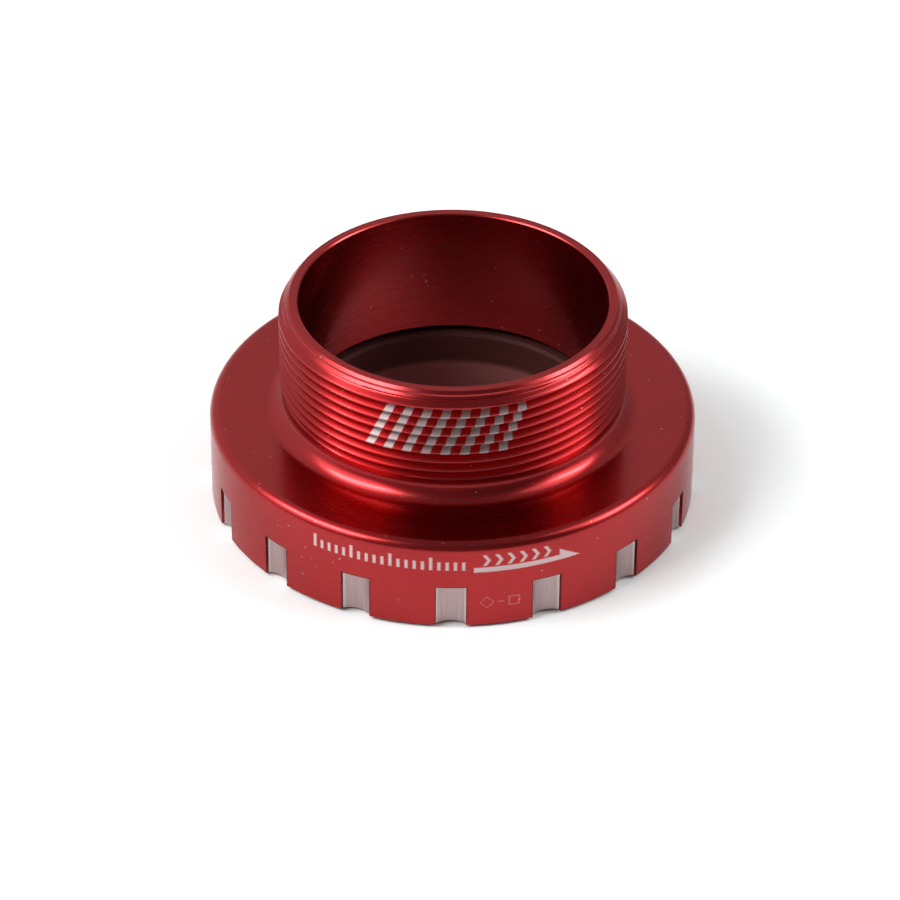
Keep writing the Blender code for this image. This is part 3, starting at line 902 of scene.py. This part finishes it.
def build_floor():
    """A plain pale disc that the cup stands on, just under its lowest face."""
    gap = 0.02 * MM
    bm = bmesh.new()
    place = Matrix.Translation((0.0, 0.0, -gap))
    bmesh.ops.create_circle(bm, cap_ends=True, segments=96, radius=FLOOR_RADIUS, matrix=place)
    mesh = bpy.data.meshes.new("floor")
    bm.to_mesh(mesh)
    bm.free()
    surface = Surface("pale_floor", 0.6)
    paper = surface.noise(surface.x * 0.02, surface.y * 0.02, surface.z * 0.02)
    surface.colour(surface.mix_colour(paper, (0.88, 0.9, 0.9), (0.89, 0.92, 0.92)))
    mesh.materials.append(surface.material)
    floor = bpy.data.objects.new("floor", mesh)
    bpy.context.scene.collection.objects.link(floor)


def add_softbox(name, azimuth, elevation, width, height, radiance):
    """A soft rectangular light that faces the cup, from a direction in degrees; +X is azimuth 0."""
    light = bpy.data.lights.new(name, "AREA")
    light.shape = "RECTANGLE"
    light.size = width
    light.size_y = height
    light.energy = radiance * math.pi * width * height
    lamp = bpy.data.objects.new(name, light)
    azimuth, elevation = math.radians(azimuth), math.radians(elevation)
    direction = Vector((
        math.cos(elevation) * math.cos(azimuth),
        math.cos(elevation) * math.sin(azimuth),
        math.sin(elevation),
    ))
    lamp.location = direction * SOFTBOX_DISTANCE
    lamp.rotation_euler = direction.to_track_quat("Z", "Y").to_euler()
    lamp.visible_camera = False
    bpy.context.scene.collection.objects.link(lamp)


def build_world():
    """White surroundings that dim towards the front, the right and a dark ceiling."""
    world = bpy.data.worlds.new("studio")
    world.use_nodes = True
    bpy.context.scene.world = world
    tree = world.node_tree
    place = tree.nodes.new("ShaderNodeTexCoord")
    split = tree.nodes.new("ShaderNodeSeparateXYZ")
    tree.links.new(place.outputs["Generated"], split.inputs[0])
    right, back, up = [Field(tree, socket) for socket in split.outputs]
    walls = back.ramp(-0.1, -0.5) * -FRONT_DIMMING + 1.0
    walls *= right.ramp(-0.3, 0.6) * -RIGHT_DIMMING + 1.0
    walls *= WALL_BRIGHTNESS
    ceiling = up.ramp(CEILING_START, 1.0)
    brightness = walls * (-ceiling + 1.0) + ceiling * CEILING_BRIGHTNESS
    background = tree.nodes["Background"]
    tree.links.new(brightness.socket, background.inputs["Strength"])
    background.inputs["Color"].default_value = (1.0, 1.0, 1.0, 1.0)


def build_camera():
    """The photograph's view: a long lens from the front, a little more than a third of the way up."""
    data = bpy.data.cameras.new("camera")
    data.lens = CAMERA_LENS
    data.sensor_width = CAMERA_SENSOR_WIDTH
    data.clip_start = 0.01
    camera = bpy.data.objects.new("camera", data)
    direction = Vector((0.0, -math.cos(CAMERA_ELEVATION), math.sin(CAMERA_ELEVATION)))
    camera.location = CAMERA_DISTANCE * direction
    look = (CAMERA_AIM - camera.location).to_track_quat("-Z", "Y")
    camera.rotation_euler = (look.to_matrix() @ Matrix.Rotation(CAMERA_ROLL, 3, "Z")).to_euler()
    bpy.context.scene.collection.objects.link(camera)
    bpy.context.scene.camera = camera


def main():
    steel = ring_steel()
    rubber = seal_rubber()
    plated = plated_steel()
    finishes = {
        "bearing_inner_ring": (steel, "blackened_bearing_steel", "inner_ring"),
        "bearing_outer_ring": (steel, "blackened_bearing_steel", "cup"),
        "seal_outboard_rubber": (rubber, "seal_rubber", "cup"),
        "seal_inboard_rubber": (rubber, "seal_rubber", "cup"),
        "seal_outboard_insert": (plated, "plated_insert_steel", "cup"),
        "seal_inboard_insert": (plated, "plated_insert_steel", "cup"),
        "dust_cover": (black_anodised(), "black_anodised_cover", "inner_ring"),
        "dust_cover_lip": (rubber, "seal_rubber", "inner_ring"),
    }
    build_cup(anodised_red(), bare_aluminium())
    for node, outline in ring_outlines().items():
        material, slot, body = finishes[node]
        piece = turned(f"{node}_turned", outline, material, body, node)
    build_balls(ball_steel())
    build_cage(moulded_nylon())
    build_floor()
    add_softbox("left_softbox_core", azimuth=200.0, elevation=48.0, width=0.40, height=0.15, radiance=13.0)
    add_softbox("left_softbox_glow", azimuth=199.0, elevation=43.0, width=0.54, height=0.46, radiance=1.6)
    add_softbox("right_softbox_core", azimuth=-2.0, elevation=39.0, width=0.24, height=0.12, radiance=12.5)
    add_softbox("right_softbox_glow", azimuth=-6.0, elevation=41.0, width=0.36, height=0.44, radiance=1.8)
    build_world()
    build_camera()
    bpy.context.scene.view_settings.view_transform = "Standard"


main()
